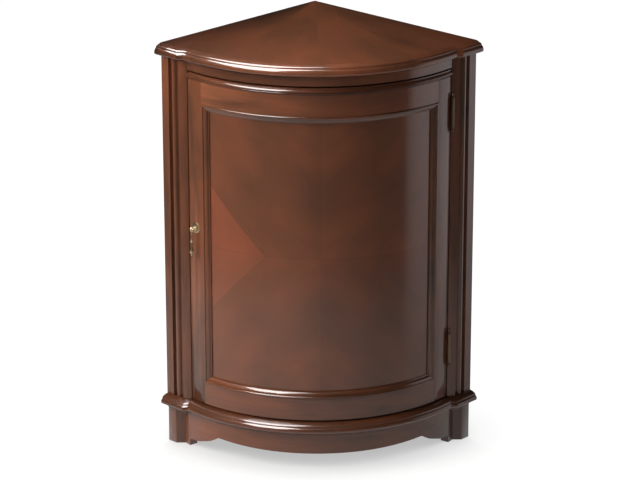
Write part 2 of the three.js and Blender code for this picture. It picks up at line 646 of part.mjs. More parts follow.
// The panel moulding, as (share of its width from the frame, share of the recess above the panel):
// a small round proud of the frame, a step, a long round down, and a fillet on the panel.
const MOULDING_ROUND_SHARE = 0.33;
const MOULDING_SHARES = [
  [0.36, 0.93], [0.55, 0.84], [0.72, 0.66], [0.84, 0.42], [0.86, 0.3], [1, 0.22],
];
function makePanelMouldings() {
  const lowest = SEAT_GAP;
  const round = (DOOR_MOULDING_WIDTH * MOULDING_ROUND_SHARE) / 2;
  const section = [
    [SEAT_GAP, lowest],
    ...bulge([SEAT_GAP + round, PANEL_RECESS], [round, DOOR_MOULDING_PROUD], Math.PI, 0),
    ...MOULDING_SHARES.map(([across, up]) => [across * DOOR_MOULDING_WIDTH, up * PANEL_RECESS]),
    [DOOR_MOULDING_WIDTH, lowest],
  ];
  const heights = [OPENING_BOTTOM, OPENING_TOP];
  for (const [name, level, up] of [
    ["panel_moulding_top", heights[1], -1],
    ["panel_moulding_bottom", heights[0], 1],
  ]) {
    const profile = section.map(([across, above]) => new THREE.Vector2(above, level + up * across));
    const line = (p) => {
      const mitre = ((p.y - level) * up + MITRE_GAP) / BOW_RADIUS;
      const square = (DOOR_MOULDING_WIDTH + MITRE_LEAD) / BOW_RADIUS;
      return [
        bowPoint(PANEL_FACE + p.x, OPENING_LEFT + mitre),
        ...bowArc(PANEL_FACE + p.x, OPENING_LEFT + square, OPENING_RIGHT - square, BOW_STEPS),
        bowPoint(PANEL_FACE + p.x, OPENING_RIGHT - mitre),
      ];
    };
    piece(name, sweep(profile, line), lacquered);
  }
  for (const [name, edge, inward] of [
    ["panel_moulding_left", OPENING_LEFT, 1],
    ["panel_moulding_right", OPENING_RIGHT, -1],
  ]) {
    const ends = [0, 1].map((end) =>
      section.map(([across, above]) => {
        const point = bowPoint(PANEL_FACE + above, edge + (inward * across) / BOW_RADIUS);
        const inset = across + MITRE_GAP;
        return new THREE.Vector3(point.x, point.y, heights[end] + (end ? -inset : inset));
      }));
    piece(name, skin(ends, profileOf(...section)), lacquered);
  }
}

// A hinge pin's tip, as (share of its radius, share of its length).
const FINIAL_SHARES = [[0.9, 0], [1, 0.12], [0.6, 0.26], [0.78, 0.42], [0.8, 0.6], [0.55, 0.82], [0, 1]];

// Each hinge stands in its own group: X runs along the bow away from the door, Y inwards.
function makeHinges() {
  const edge = bowPoint(BOW_RADIUS, BOW_HALF_ANGLE);
  const hinges = [["lower", DOOR_BOTTOM + LOWER_HINGE_RISE], ["upper", DOOR_TOP - UPPER_HINGE_DROP]];
  for (const [name, centre] of hinges) {
    const hinge = new THREE.Group();
    hinge.position.set(edge.x, edge.y, centre);
    hinge.rotation.z = BOW_HALF_ANGLE;
    carcase.add(hinge);
    const axis = [-HINGE_GAP / 2, -BARREL_STAND];
    const half = BARREL_LENGTH / 2;
    const knuckle = DOOR_KNUCKLE_LENGTH / 2;
    const bore = HINGE_PIN_RADIUS + PIN_CLEARANCE;
    const leafTop = BARREL_STAND - BARREL_RADIUS - SEAT_GAP;
    const tongue = -BARREL_STAND + BARREL_RADIUS - LEAF_EMBED;
    const leaf = (near, far, from, to, reach) =>
      block([Math.min(near, far), reach, from], [Math.max(near, far), LEAF_WIDTH, to]);
    const onAxis = (geometry) => geometry.translate(axis[0], axis[1], 0);

    const postFace = -SEAT_GAP;
    const postLeaf = join(
      leaf(postFace, postFace - LEAF_THICKNESS, -half, half, -leafTop),
      leaf(postFace, postFace - LEAF_THICKNESS, knuckle + KNUCKLE_GAP, half, tongue),
      leaf(postFace, postFace - LEAF_THICKNESS, -half, -knuckle - KNUCKLE_GAP, tongue),
      onAxis(tube(bore, BARREL_RADIUS, knuckle + KNUCKLE_GAP, half)),
      onAxis(tube(bore, BARREL_RADIUS, -half, -knuckle - KNUCKLE_GAP)),
    );
    piece(name + "_hinge_post_leaf", postLeaf, bronze, 0, hinge);

    const doorFace = SEAT_GAP - HINGE_GAP;
    const doorLeaf = join(
      leaf(doorFace, doorFace + LEAF_THICKNESS, -half, half, -leafTop),
      leaf(doorFace, doorFace + LEAF_THICKNESS, -knuckle, knuckle, tongue),
      onAxis(tube(bore, BARREL_RADIUS, -knuckle, knuckle)),
    );
    piece(name + "_hinge_door_leaf", doorLeaf, bronze, 0, hinge);

    const finial = (end) => FINIAL_SHARES.map(([out, up]) => [
      out * FINIAL_RADIUS,
      end * (half + KNUCKLE_GAP + up * FINIAL_LENGTH),
    ]);
    const pin = onAxis(turned([
      ...finial(-1).reverse(),
      [HINGE_PIN_RADIUS, -half],
      [HINGE_PIN_RADIUS, half],
      ...finial(1),
    ]));
    piece(name + "_hinge_pin", pin, bronze, 0, hinge);
  }
}

// The pull stands in its own group on the middle of the left stile: -Y points out of the door.
const ROSETTE_SHARES = [[1, 0], [1, 0.22], [0.88, 0.4], [0.78, 0.42], [0.6, 0.86], [0.4, 1]];
const DROP_SHARES = [
  [0.3, 0], [0.42, 0.05], [0.3, 0.1], [0.24, 0.16], [0.34, 0.26], [0.42, 0.34], [0.62, 0.37], [0.62, 0.42],
  [0.42, 0.45], [0.36, 0.54], [0.42, 0.66], [0.72, 0.78], [1, 0.84], [0.96, 0.88], [0.42, 0.9], [0.5, 0.94],
  [0.34, 0.98], [0, 1],
];
function makePull() {
  const pull = new THREE.Group();
  const angle = DOOR_LEFT + STILE_ANGLE / 2;
  const place = bowPoint(BOW_RADIUS, angle);
  pull.position.set(place.x, place.y, PULL_HEIGHT);
  pull.rotation.z = angle;
  carcase.add(pull);
  const bore = STUD_RADIUS + RUNNING_GAP;
  const back = -SEAT_GAP;

  const rosette = profileOf(
    [bore, back],
    ...ROSETTE_SHARES.map(([out, up]) => [out * ROSETTE_RADIUS, back - up * ROSETTE_THICKNESS]),
    [bore, back - ROSETTE_THICKNESS],
    [bore, back],
  );
  piece("pull_rosette", new THREE.LatheGeometry(rosette.reverse(), ROUND_STEPS), brass, 0, pull);

  const ring = DROP_WIRE_RADIUS + RUNNING_GAP + EYE_WIRE_RADIUS;
  const inward = DOOR_THICKNESS + NUT_THICKNESS + SEAT_GAP;
  const stud = profileOf(
    [0, inward],
    [STUD_RADIUS, inward],
    [STUD_RADIUS, -EYE_STAND + ring + EYE_WIRE_RADIUS],
    [EYE_WIRE_RADIUS, -EYE_STAND + ring],
    [0, -EYE_STAND + ring],
  );
  const eye = new THREE.TorusGeometry(ring, EYE_WIRE_RADIUS, WIRE_STEPS, ROUND_STEPS);
  eye.rotateY(Math.PI / 2);
  eye.translate(0, -EYE_STAND, 0);
  const shank = new THREE.LatheGeometry(stud.reverse(), ROUND_STEPS);
  piece("pull_eye", join(shank, eye), brass, 0, pull);

  const nut = profileOf(
    [bore, DOOR_THICKNESS + SEAT_GAP],
    [NUT_RADIUS, DOOR_THICKNESS + SEAT_GAP],
    [NUT_RADIUS, inward],
    [bore, inward],
    [bore, DOOR_THICKNESS + SEAT_GAP],
  );
  piece("pull_nut", new THREE.LatheGeometry(nut, NUT_SIDES), brass, 0, pull);

  const loop = new THREE.TorusGeometry(DROP_LOOP_RADIUS, DROP_WIRE_RADIUS, WIRE_STEPS, ROUND_STEPS);
  loop.rotateX(Math.PI / 2);
  loop.translate(0, 0, -DROP_LOOP_RADIUS);
  const neck = -2 * DROP_LOOP_RADIUS;
  const body = turned([
    [0, neck],
    ...DROP_SHARES.map(([out, down]) => [out * DROP_RADIUS, neck - down * DROP_LENGTH]),
  ].reverse());
  const drop = piece("pull_drop", join(loop, body), brass, 0, pull);
  drop.position.y = -EYE_STAND;
}

function makeCatch() {
  const angle = BOW_HALF_ANGLE - SEAT_ANGLE;
  const corner = bowPoint(BOW_RADIUS, -angle);
  const holder = new THREE.Group();
  holder.position.set(corner.x, corner.y, DOOR_TOP - CATCH_DROP);
  holder.rotation.z = -angle;
  carcase.add(holder);
  const strikeBack = DOOR_THICKNESS + STRIKE_SEAT + STRIKE_THICKNESS;
  const body = block(
    [0, strikeBack + CATCH_GAP, -CATCH_LENGTH / 2],
    [CATCH_WIDTH, POST_DEPTH, CATCH_LENGTH / 2],
  );
  piece("catch_case", body, steel, 0, holder);
  const start = LATCH_GAP + SEAT_GAP;
  const plate = block(
    [start, DOOR_THICKNESS + STRIKE_SEAT, -STRIKE_LENGTH / 2],
    [start + STRIKE_WIDTH, strikeBack, STRIKE_LENGTH / 2],
  );
  piece("catch_strike", plate, steel, 0, holder);
}

makeTopBoard();
makeFrieze();
for (const [name, side] of SIDES) makePost(name + "_post", side);
makeBack();
makeCleats();
makeShelf();
makeBottomBoard();
makeBaseMoulding();
makePlinth();
makeDoorFrame();
makeDoorBead();
makePanel();
makePanelMouldings();
makeHinges();
makePull();
makeCatch();

export default cupboard;
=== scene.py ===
"""Looks for the corner cupboard: polished dark wood, matched veneers, aged brass and bronze fittings."""
import math

import bmesh
import bpy
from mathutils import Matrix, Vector

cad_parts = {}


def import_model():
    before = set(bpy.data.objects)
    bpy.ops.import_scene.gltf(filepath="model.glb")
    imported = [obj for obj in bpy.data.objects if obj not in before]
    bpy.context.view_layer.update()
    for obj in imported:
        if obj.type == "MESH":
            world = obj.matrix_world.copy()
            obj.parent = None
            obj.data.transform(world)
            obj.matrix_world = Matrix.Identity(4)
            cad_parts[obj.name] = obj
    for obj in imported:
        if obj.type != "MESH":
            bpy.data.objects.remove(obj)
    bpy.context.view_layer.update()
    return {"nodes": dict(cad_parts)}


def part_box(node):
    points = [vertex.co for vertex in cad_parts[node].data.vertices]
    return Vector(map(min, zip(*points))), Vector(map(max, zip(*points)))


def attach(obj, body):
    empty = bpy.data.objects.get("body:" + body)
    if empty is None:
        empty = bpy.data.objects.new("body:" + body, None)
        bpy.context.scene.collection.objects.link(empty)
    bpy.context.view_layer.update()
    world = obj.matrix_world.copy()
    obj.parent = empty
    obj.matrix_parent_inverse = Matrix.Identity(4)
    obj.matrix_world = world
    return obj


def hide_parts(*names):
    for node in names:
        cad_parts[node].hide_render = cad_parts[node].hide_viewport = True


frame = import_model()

NODES = frame["nodes"]
MM = 0.001
SQRT2 = math.sqrt(2)

# The plan's measures in metres: the bow's radius as in the source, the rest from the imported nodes
ROOM_CORNER_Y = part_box("top_board")[1].y
BOW_RADIUS = 332.915 * MM
BOW_CENTRE_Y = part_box("frieze_rail")[0].y + BOW_RADIUS
PANEL_LOW, PANEL_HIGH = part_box("door_panel")
SEAM_Z = (PANEL_LOW.z + PANEL_HIGH.z) / 2


class Nodes:
    """A small builder for one node tree."""

    def __init__(self, tree):
        self.tree = tree

    def add(self, kind, inputs=(), **settings):
        node = self.tree.nodes.new(kind)
        for name, value in settings.items():
            setattr(node, name, value)
        for name, value in dict(inputs).items():
            self.put(node.inputs[name], value)
        return node

    def put(self, socket, value):
        if isinstance(value, bpy.types.NodeSocket):
            self.tree.links.new(value, socket)
        else:
            socket.default_value = value

    def math(self, operation, *values, clamp=False):
        node = self.add("ShaderNodeMath", operation=operation, use_clamp=clamp)
        for socket, value in zip(node.inputs, values):
            self.put(socket, value)
        return node.outputs[0]

    def centred(self, value, middle, scale, clamp=False):
        """How far a value lies from its middle, times a scale."""
        return self.math("MULTIPLY", self.math("SUBTRACT", value, middle), scale, clamp=clamp)

    def length(self, x, y):
        squares = self.math("ADD", self.math("MULTIPLY", x, x), self.math("MULTIPLY", y, y))
        return self.math("SQRT", squares)

    def xyz(self, x, y, z):
        return self.add("ShaderNodeCombineXYZ", {"X": x, "Y": y, "Z": z}).outputs[0]

    def parts(self, vector):
        node = self.add("ShaderNodeSeparateXYZ", {"Vector": vector})
        return node.outputs["X"], node.outputs["Y"], node.outputs["Z"]

    def noise(self, vector, scale, detail, rough, distortion=0.0):
        inputs = {"Vector": vector, "Scale": scale, "Detail": detail}
        inputs.update({"Roughness": rough, "Distortion": distortion})
        return self.add("ShaderNodeTexNoise", inputs).outputs["Fac"]

    def ramp(self, value, stops):
        node = self.add("ShaderNodeValToRGB", {"Fac": value})
        band = node.color_ramp
        while len(band.elements) < len(stops):
            band.elements.new(0.5)
        for element, (place, colour) in zip(band.elements, stops):
            element.position = place
            element.color = (*colour, 1)
        return node.outputs["Color"]

    def mix(self, share, a, b, blend="MIX"):
        node = self.add("ShaderNodeMix", data_type="RGBA", blend_type=blend)
        for socket, value in zip((node.inputs[0], node.inputs[6], node.inputs[7]), (share, a, b)):
            self.put(socket, (*value, 1) if isinstance(value, tuple) else value)
        return node.outputs[2]

    def stained(self, colour, stain):
        return self.mix(1.0, colour, stain, "MULTIPLY")

    def toned(self, colour, tone):
        """A colour times one number that changes over the surface."""
        inputs = {"Red": tone, "Green": tone, "Blue": tone}
        return self.stained(colour, self.add("ShaderNodeCombineColor", inputs).outputs[0])

    def bump(self, height, strength, distance):
        inputs = {"Strength": strength, "Distance": distance, "Height": height}
        return self.add("ShaderNodeBump", inputs).outputs[0]

    def shader(self, kind, **inputs):
        return self.add(kind, inputs).outputs[0]

    def join(self, kind, first, second, share=None):
        """Two shaders mixed by a share, or added together."""
        node = self.add(kind, {} if share is None else {"Fac": share})
        sockets = [socket for socket in node.inputs if socket.type == "SHADER"]
        for socket, value in zip(sockets, (first, second)):
            self.put(socket, value)
        return node.outputs[0]

    def finish(self, kind, shader):
        self.put(self.add(kind).inputs["Surface"], shader)


def material(name):
    made = bpy.data.materials.new(name)
    made.use_nodes = True
    made.node_tree.nodes.clear()
    return made, Nodes(made.node_tree)


def surface(n, **sockets):
    """The Principled shader and the output of a material."""
    inputs = {name.replace("_", " "): value for name, value in sockets.items()}
    n.finish("ShaderNodeOutputMaterial", n.add("ShaderNodeBsdfPrincipled", inputs).outputs[0])


def linear(value):
    share = value / 255
    return share / 12.92 if share <= 0.04045 else ((share + 0.055) / 1.055) ** 2.4


def srgb(*values):
    """Linear colour from 8-bit display values."""
    return tuple(linear(value) for value in values)


def grey(tone):
    return (tone, tone, tone)


# Colours of the stained wood
DARK = srgb(69, 41, 26)
MID = srgb(95, 56, 36)
LIGHT = srgb(120, 70, 44)
RED = srgb(110, 62, 39)
TRIANGLE_RED = srgb(166, 82, 52)
WOOD_STOPS = [(0.30, DARK), (0.46, MID), (0.58, RED), (0.74, LIGHT)]
INSIDE_STOPS = [(0.3, srgb(96, 58, 38)), (0.55, srgb(126, 80, 52)), (0.75, srgb(146, 98, 66))]

# Scale of the coordinate along the grain for each kind of figure: a small one draws it out
BAND_STRETCH = 0.16
LINE_STRETCH = 0.04
CLOUD_STRETCH = 0.5
PORE_STRETCH = 0.03
INSIDE_STRETCH = 0.08

# Noise scales, on coordinates in metres
BAND_SCALE = 26.0
CLOUD_SCALE = 9.0
LINE_SCALE = 320.0
PORE_SCALE = 1100.0
WAVE_SCALE = 22.0
DUST_SCALE = 900.0
INSIDE_BAND_SCALE = 30.0
INSIDE_LINE_SCALE = 420.0
TARNISH_SCALE = 160.0
SPECK_SCALE = 900.0

# What each adds to the place on the colour ramp
BAND_SHARE = 0.55
CLOUD_SHARE = 0.45
LINE_SHARE = 0.22
BASE_SHARE = 0.275
INSIDE_BAND_SHARE = 0.8
INSIDE_LINE_SHARE = 0.2

# Pores: noise under the limit darkens the wood, faster with the slope, up to the share
PORE_LIMIT = 0.42
PORE_SLOPE = 3.0
PORE_SHARE = 0.5

# The polish
BASE_ROUGHNESS = 0.38
COAT_ROUGHNESS = 0.09
WOOD_SPECULAR = 0.12
COAT_IOR = 1.5
WAVE_SHARE = 0.6
LINE_RELIEF = 0.06

# How strongly the bands and lines show, where they are quieter than in solid wood
DOOR_FIGURE = 0.16
TOP_FIGURE = 0.45

# Length along the bow, in metres, at which a bowed wood reaches its left painted shading: painted light
# and shade from the lamp at the left
LEFT_END = -0.25

# The door's veneer, in metres, and the shares of its colours; the left and upper shares and the diagonal
# tone are painted sheen
TRIANGLE_EDGE = -0.114
EDGE_WANDER = 0.004
SEAM_HALF_WIDTH = 0.00035
SEAM_SHARE = 0.5
TRIANGLE_SHARE = 0.05
PAINTED_SHEEN_LEFT = 0.09
PAINTED_SHEEN_UPPER = 0.1
DIAGONAL_TONE = 0.045

# The top's veneer: the angle of a wedge, the shift of the grain from one wedge to the next, the tone
# in the middle, its fall to both sides and its rise to the right
WEDGE = math.radians(22.5)
WEDGE_SHIFT = 0.37
MIDDLE_TONE = 1.36
TONE_FALL = 0.22
TONE_RISE = 0.11


def place(n):
    """Object coordinates as three numbers, in the row frame."""
    return n.parts(n.add("ShaderNodeTexCoord").outputs["Object"])


def round_the_bow(n, x, y):
    """Length along the bow and distance from its centre."""
    dy = n.math("SUBTRACT", BOW_CENTRE_Y, y)
    along = n.math("MULTIPLY", n.math("ARCTAN2", x, dy), BOW_RADIUS)
    return along, n.length(x, dy)


def grain(n, across, along, depth, seed, figure=1.0):
    """Colour, bands and lines of a board, from coordinates across and along its grain."""
    shifted = n.math("ADD", across, seed)
    wide = n.xyz(shifted, n.math("MULTIPLY", along, BAND_STRETCH), n.math("ADD", depth, seed * 0.7))
    fine = n.xyz(shifted, n.math("MULTIPLY", along, LINE_STRETCH), depth)
    soft = n.xyz(across, n.math("MULTIPLY", along, CLOUD_STRETCH), n.math("ADD", depth, seed))
    dots = n.xyz(across, n.math("MULTIPLY", along, PORE_STRETCH), depth)
    bands = n.noise(wide, BAND_SCALE, 3.0, 0.55, 0.6)
    cloud = n.noise(soft, CLOUD_SCALE, 2.0, 0.5, 0.2)
    lines = n.noise(fine, LINE_SCALE, 3.0, 0.6)
    pores = n.noise(dots, PORE_SCALE, 1.0, 0.5)
    body = n.math("ADD", n.centred(bands, 0.5, BAND_SHARE * figure), BASE_SHARE)
    body = n.math("ADD", body, n.math("MULTIPLY", cloud, CLOUD_SHARE))
    body = n.math("ADD", body, n.centred(lines, 0.5, LINE_SHARE * figure))
    pore = n.math("MULTIPLY", n.math("SUBTRACT", PORE_LIMIT, pores), PORE_SLOPE, clamp=True)
    colour = n.mix(n.math("MULTIPLY", pore, PORE_SHARE), n.ramp(body, WOOD_STOPS), DARK)
    return colour, bands, lines


def polish(n, colour, lines):
    """A clear polish over the wood, with the faint waviness of a hand-rubbed finish."""
    at = n.xyz(*place(n))
    wave = n.noise(at, WAVE_SCALE, 2.0, 0.5)
    dust = n.noise(at, DUST_SCALE, 2.0, 0.5)
    fine = n.math("MULTIPLY", lines, LINE_RELIEF)
    height = n.math("ADD", n.math("MULTIPLY", wave, WAVE_SHARE), fine)
    surface(
        n,
        Base_Color=colour,
        Roughness=n.math("ADD", BASE_ROUGHNESS, n.centred(dust, 0.5, 0.10)),
        Specular_IOR_Level=WOOD_SPECULAR,
        Coat_Weight=1.0,
        Coat_Roughness=COAT_ROUGHNESS,
        Coat_IOR=COAT_IOR,
        Normal=n.bump(height, 0.10, 1.2 * MM),
        Coat_Normal=n.bump(wave, 0.05, 1.0 * MM),
    )


def upright_wood(name, seed, stain=grey(1.0)):
    """Wood whose grain runs upright, its colour multiplied by stain, which is painted shade on the
    copies for the right post, the right panel moulding and the feet.
    """
    made, n = material(name)
    x, y, z = place(n)
    along, out = round_the_bow(n, x, y)
    colour, _, lines = grain(n, along, z, out, seed)
    polish(n, n.stained(colour, stain), lines)
    return made


def bowed_wood(name, seed, tone, left_painted_shading):
    """Wood whose grain follows the bow. Its stain is tone from the middle to the right, and changes to
    left_painted_shading at the left end:
    painted light at the left of the rails and mouldings, painted shadow of the top's overhang at the
    left of the frieze."""
    made, n = material(name)
    x, y, z = place(n)
    along, out = round_the_bow(n, x, y)
    colour, _, lines = grain(n, z, along, out, seed)
    share = n.math("DIVIDE", along, LEFT_END, clamp=True)
    polish(n, n.stained(colour, n.mix(share, grey(tone), grey(left_painted_shading))), lines)
    return made


def door_veneer():
    """Four matched leaves: the grain of each runs at 45 degrees towards the middle of the panel."""
    made, n = material("matched_veneer")
    x, y, z = place(n)
    along, out = round_the_bow(n, x, y)
    up = n.math("SUBTRACT", z, SEAM_Z)
    side = n.math("ABSOLUTE", along)
    level = n.math("ABSOLUTE", up)
    across = n.math("SUBTRACT", level, side)
    colour, bands, lines = grain(n, across, n.math("ADD", level, side), out, 3.7, DOOR_FIGURE)
    # the outer triangle of each side is a lighter, redder veneer; at the left, most of all at the upper
    # left, painted sheen makes it lighter still
    wandering = n.math("ADD", across, n.math("MULTIPLY", bands, EDGE_WANDER))
    triangle = n.math("LESS_THAN", wandering, TRIANGLE_EDGE)
    left = n.math("LESS_THAN", along, 0.0)
    above = n.math("MULTIPLY", n.math("GREATER_THAN", up, 0.0), PAINTED_SHEEN_UPPER)
    more = n.math("MULTIPLY", left, n.math("ADD", PAINTED_SHEEN_LEFT, above))
    share = n.math("ADD", TRIANGLE_SHARE, more)
    colour = n.mix(n.math("MULTIPLY", triangle, share), colour, TRIANGLE_RED)
    # leaves on one diagonal catch a little more light than the other two
    turn = n.math("MULTIPLY", n.math("SIGN", along), n.math("SIGN", up))
    colour = n.toned(colour, n.math("ADD", 1.0, n.math("MULTIPLY", turn, DIAGONAL_TONE)))
    # hairline seams
    seam = n.math("LESS_THAN", n.math("MINIMUM", side, level), SEAM_HALF_WIDTH)
    polish(n, n.mix(n.math("MULTIPLY", seam, SEAM_SHARE), colour, DARK), lines)
    return made


def top_veneer():
    """Wedges of veneer that meet at the room corner."""
    made, n = material("top_veneer")
    x, y, _ = place(n)
    dy = n.math("SUBTRACT", ROOM_CORNER_Y, y)
    radius = n.length(x, dy)
    wedge = n.math("DIVIDE", n.math("ARCTAN2", x, dy), WEDGE)
    index = n.math("FLOOR", wedge)
    local = n.math("SUBTRACT", n.math("SUBTRACT", wedge, index), 0.5)
    across = n.math("MULTIPLY", n.math("MULTIPLY", local, WEDGE), radius)
    shift = n.math("MULTIPLY", index, WEDGE_SHIFT)
    colour, _, lines = grain(n, across, radius, shift, 1.3, TOP_FIGURE)
    # the stain is lighter in the middle and darkest towards the left
    square = n.math("MULTIPLY", wedge, wedge)
    tone = n.math("SUBTRACT", MIDDLE_TONE, n.math("MULTIPLY", square, TONE_FALL))
    tone = n.math("ADD", tone, n.math("MULTIPLY", wedge, TONE_RISE))
    polish(n, n.toned(colour, tone), lines)
    return made


def inside_wood():
    """Plain satin boards of the inside, the sides and the back."""
    made, n = material("inside_boards")
    x, y, z = place(n)
    at = n.xyz(x, y, n.math("MULTIPLY", z, INSIDE_STRETCH))
    bands = n.noise(at, INSIDE_BAND_SCALE, 3.0, 0.55, 0.4)
    lines = n.noise(at, INSIDE_LINE_SCALE, 2.0, 0.6)
    fine = n.math("MULTIPLY", lines, INSIDE_LINE_SHARE)
    body = n.math("ADD", n.math("MULTIPLY", bands, INSIDE_BAND_SHARE), fine)
    surface(
        n,
        Base_Color=n.ramp(body, INSIDE_STOPS),
        Roughness=0.62,
        Specular_IOR_Level=0.3,
        Normal=n.bump(lines, 0.25, 0.6 * MM),
    )
    return made


def metal(name, dark, bright, rough):
    """Aged metal, brighter on its worn edges."""
    made, n = material(name)
    at = n.xyz(*place(n))
    cloud = n.noise(at, TARNISH_SCALE, 4.0, 0.6)
    speck = n.noise(at, SPECK_SCALE, 2.0, 0.5)
    edge = n.add("ShaderNodeNewGeometry").outputs["Pointiness"]
    worn = n.centred(edge, 0.51, 14.0, clamp=True)
    share = n.math("ADD", n.centred(cloud, 0.35, 1.1), worn, clamp=True)
    surface(
        n,
        Base_Color=n.mix(share, dark, bright),
        Metallic=1.0,
        Roughness=n.math("ADD", rough, n.centred(cloud, 0.5, 0.2)),
        Normal=n.bump(speck, 0.3, 0.3 * MM),
    )
    return made


STILE = upright_wood("upright_wood", 0.0)
POST = upright_wood("fluted_wood", 2.3, grey(0.92))
# Darker, greyer copies: painted shade on the right post and right panel moulding, away from the lamp,
# and on the feet under the base moulding's overhang
PAINTED_SHADE_RIGHT_POST = upright_wood("right_fluted_wood_painted_shade", 2.9, (0.80, 0.86, 0.94))
PAINTED_SHADE_RIGHT_MOULDING = upright_wood("right_moulding_wood_painted_shade", 3.1, (0.80, 0.88, 0.98))
PAINTED_SHADE_FOOT = upright_wood("foot_wood_painted_shade", 4.1, grey(0.80))
# Bowed woods: painted light at the left end of the rails and mouldings, the painted shadow of the top's
# overhang at the left of the frieze
RAIL = bowed_wood("bowed_wood", 5.1, 0.88, 1.0)
TOP_RAIL_PAINTED_LIGHT = bowed_wood("top_rail_painted_light", 7.7, 0.92, 1.42)
FRIEZE_PAINTED_SHADOW = bowed_wood("frieze_painted_shadow", 8.3, 1.0, 0.7)
MOULDED = bowed_wood("moulded_wood", 6.1, 0.68, 0.70)
VENEER = door_veneer()
TOP = top_veneer()
INSIDE = inside_wood()
BRASS = metal("aged_brass", srgb(112, 94, 66), srgb(238, 214, 172), 0.38)
BRONZE = metal("dark_bronze", srgb(40, 31, 26), srgb(112, 92, 74), 0.42)
STEEL = metal("dull_steel", srgb(120, 120, 118), srgb(180, 180, 176), 0.38)

# Dressing of the solids
SOFT_ANGLE = 38  # degrees: flatter edges are shaded smooth
BEVEL_ANGLE = 50  # degrees: sharper edges are eased
WELD_DISTANCE = 0.01 * MM
EASED_WOOD = 0.6 * MM
EASED_STEEL = 0.4 * MM


def smooth_group(angle):
    """Geometry nodes that shade a mesh smooth and keep its real edges."""
    tree = bpy.data.node_groups.new(f"soft_shading_{angle}", "GeometryNodeTree")
    for direction in ("INPUT", "OUTPUT"):
        tree.interface.new_socket("Geometry", in_out=direction, socket_type="NodeSocketGeometry")
    start = tree.nodes.new("NodeGroupInput")
    end = tree.nodes.new("NodeGroupOutput")
    bare = tree.nodes.new("GeometryNodeRemoveAttribute")
    bare.inputs["Name"].default_value = "custom_normal"
    faces = tree.nodes.new("GeometryNodeSetShadeSmooth")
    faces.domain = "FACE"
    edges = tree.nodes.new("GeometryNodeSetShadeSmooth")
    edges.domain = "EDGE"
    turn = tree.nodes.new("GeometryNodeInputMeshEdgeAngle")
    small = tree.nodes.new("FunctionNodeCompare")
    small.data_type = "FLOAT"
    small.operation = "LESS_EQUAL"
    small.inputs["B"].default_value = math.radians(angle)
    link = tree.links.new
    link(start.outputs[0], bare.inputs["Geometry"])
    link(bare.outputs[0], faces.inputs["Geometry"])
    link(faces.outputs[0], edges.inputs["Geometry"])
    link(turn.outputs["Unsigned Angle"], small.inputs["A"])
    link(small.outputs[0], edges.inputs["Shade Smooth"])
    link(edges.outputs[0], end.inputs[0])
    return tree


SOFT = smooth_group(SOFT_ANGLE)


def dress(piece, look, round_edges=0.0):
    piece.data.materials.clear()
    piece.data.materials.append(look)
    weld = piece.modifiers.new("weld", "WELD")
    weld.merge_threshold = WELD_DISTANCE
    if round_edges:
        bevel = piece.modifiers.new("eased_edges", "BEVEL")
        bevel.width = round_edges
        bevel.segments = 2
        bevel.limit_method = "ANGLE"
        bevel.angle_limit = math.radians(BEVEL_ANGLE)
    soft = piece.modifiers.new("soft_shading", "NODES")
    soft.node_group = SOFT


# Finer forms than the solids have, on the same plan. Measures in millimetres, from the room corner.
WALL = 441.0
RETURN = 53.0
BOW = BOW_RADIUS / MM
BOW_Y = (BOW_CENTRE_Y - ROOM_CORNER_Y) / MM
FACET_Y = -(WALL + RETURN) / SQRT2
BOW_HALF = math.acos((BOW_Y - FACET_Y) / BOW)
ARC_STEPS = 72


def wall_point(side, along, out):
    return side * (along - out) / SQRT2, -(along + out) / SQRT2


def bow_point(radius, angle):
    return radius * math.sin(angle), BOW_Y - radius * math.cos(angle)


def bow_arc(radius, start, end):
    return [bow_point(radius, start + (end - start) * i / ARC_STEPS) for i in range(ARC_STEPS + 1)]


def front_path(offset):
    """The carcase's front line at a distance outside it, from the left wall to the right wall."""
    wall_x = (WALL + offset) / SQRT2
    facet_y = FACET_Y - offset
    half = math.acos((BOW_Y - facet_y) / (BOW + offset))
    right = [(2 * wall_x + facet_y, facet_y), (wall_x, -wall_x)]
    left = [(-x, y) for x, y in reversed(right)]
    return left + bow_arc(BOW + offset, -half, half) + right


def form(name, sections, look, body, node):
    """A closed skin over equal sections, which takes the place of a CAD node."""
    count = len(sections[0])
    points = [(x * MM, y * MM + ROOM_CORNER_Y, z * MM) for section in sections for x, y, z in section]
    faces = [list(range(count)), list(range(len(points) - 1, len(points) - count - 1, -1))]
    for i in range(len(sections) - 1):
        for k in range(count):
            a, b = i * count + k, i * count + (k + 1) % count
            faces.append([b, a, a + count, b + count])
    mesh = bpy.data.meshes.new(name)
    mesh.from_pydata(points, [], faces)
    shape = bmesh.new()
    shape.from_mesh(mesh)
    bmesh.ops.recalc_face_normals(shape, faces=shape.faces)
    shape.to_mesh(mesh)
    shape.free()
    piece = bpy.data.objects.new(name, mesh)
    bpy.context.scene.collection.objects.link(piece)
    dress(piece, look)
    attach(piece, body)
    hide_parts(node)


# Shares of twice the distance to the bead's middle, and of the flutes' depth
FLUTE = [(0, 0), (0.02, 0.4), (0.05, 0.75), (0.09, 0.94), (0.14, 1), (0.19, 0.92), (0.23, 0.68)]
FLUTE += [(0.27, 0.4), (0.31, 0.22), (0.37, 0.08), (0.44, 0.02), (0.5, 0)]
INNER_FLUTE = [(0, 0), (0.025, 0.4), (0.063, 0.75), (0.127, 0.95), (0.206, 1), (0.27, 0.95)]
INNER_FLUTE += [(0.316, 0.75), (0.354, 0.45), (0.396, 0.2), (0.443, 0.05)]
FLUTE_START = 19.2
BEAD_MIDDLE = 32.0
FLUTE_END = 47.8
FLUTE_DEPTH = 8.0
CORNER_RADIUS = 39.5
CORNER_TURN = math.radians(25)
CORNER_STEPS = 10
POST_DEPTH = 34.0
PANEL_FACE = 12.3
REBATE = 420.3


